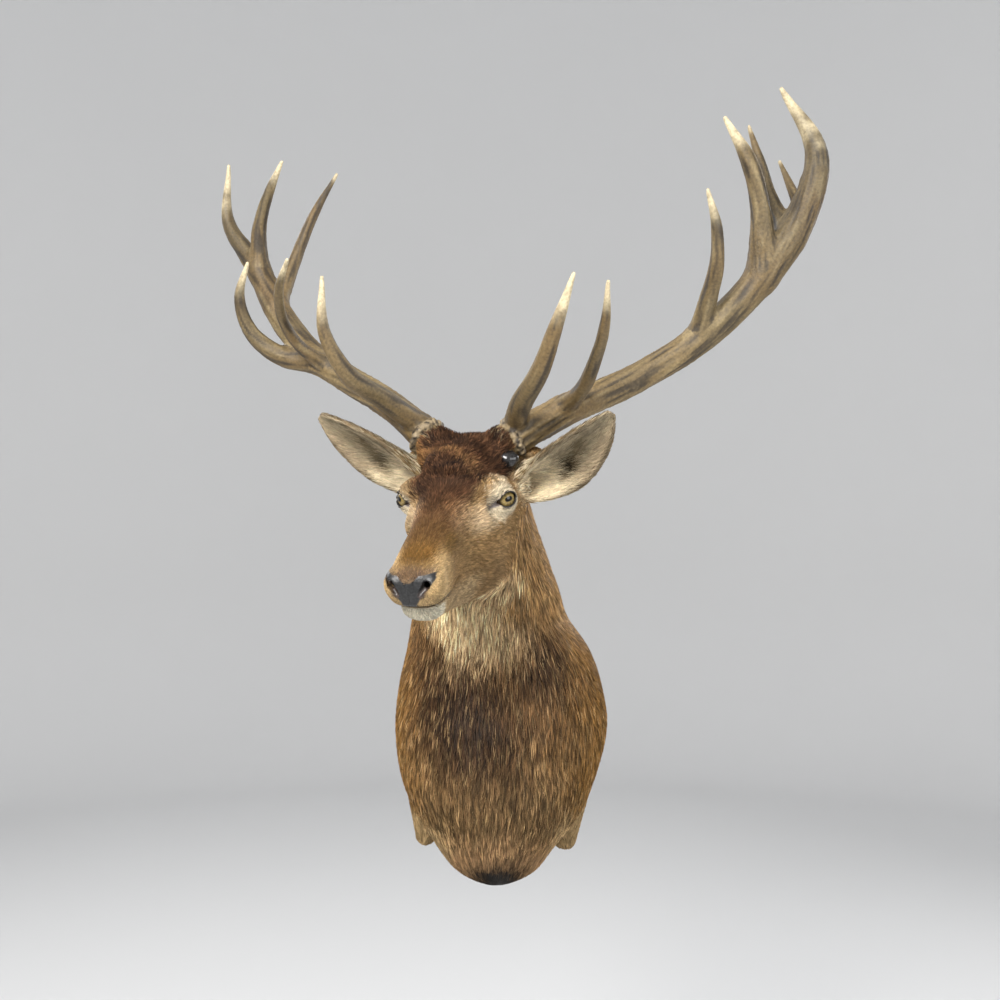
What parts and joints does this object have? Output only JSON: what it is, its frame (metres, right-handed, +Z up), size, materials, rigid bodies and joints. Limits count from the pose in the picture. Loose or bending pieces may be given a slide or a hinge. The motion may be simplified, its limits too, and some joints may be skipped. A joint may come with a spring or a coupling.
{
  "type": "red deer stag head mount",
  "caption": "Life-size shoulder mount of a red deer stag, head turned to one side, antlers raised and forked, ears out, on a recessed flat back board for a wall.",
  "frame": {"origin": "on the back board's flat back face, in the plane of the wall, at the middle of the neck and trunk", "axes": "+Y into the wall, -Y out to the viewer, +X to the viewer's right, +Z up"},
  "size_m": [0.9209, 0.6536, 1.2048],
  "materials": {
    "hide": "dense brown fur on tanned hide, paler at the throat and round the eyes",
    "nose_skin": "pebbled black skin with a damp gloss",
    "eye_glass": "dark amber glass with a level oblong pupil",
    "antler": "grooved brown antler, rubbed ivory white at the points",
    "burr": "beaded pale burr with brown hollows",
    "black_gloss": "glossy black",
    "pine": "sawn pine",
    "steel": "plain zinc-plated steel"
  },
  "bodies": {
    "root": {"antler_left_burr": "burr", "antler_left_beam_lower": "antler", "antler_left_beam_middle": "antler", "antler_left_beam_upper": "antler", "antler_left_brow": "antler", "antler_left_bez": "antler", "antler_left_trez": "antler", "antler_left_crown_front": "antler", "antler_left_crown_rear": "antler", "antler_left_crown_spur": "antler", "antler_right_burr": "burr", "antler_right_beam_lower": "antler", "antler_right_beam_middle": "antler", "antler_right_beam_upper": "antler", "antler_right_brow": "antler", "antler_right_bez": "antler", "antler_right_trez": "antler", "antler_right_crown_front": "antler", "antler_right_crown_rear": "antler", "burr_knob": "black_gloss", "eye_left": "eye_glass", "ear_left": "hide", "eye_right": "eye_glass", "ear_right": "hide", "nose_pad": "nose_skin", "head": "hide", "lower_jaw": "hide", "foreleg_left": "hide", "foreleg_right": "hide", "neck": "hide", "trunk": "hide", "hanger_screw_left": "steel", "hanger_screw_right": "steel", "hanger_plate": "steel", "backboard": "pine"}
  },
  "joints": []
}
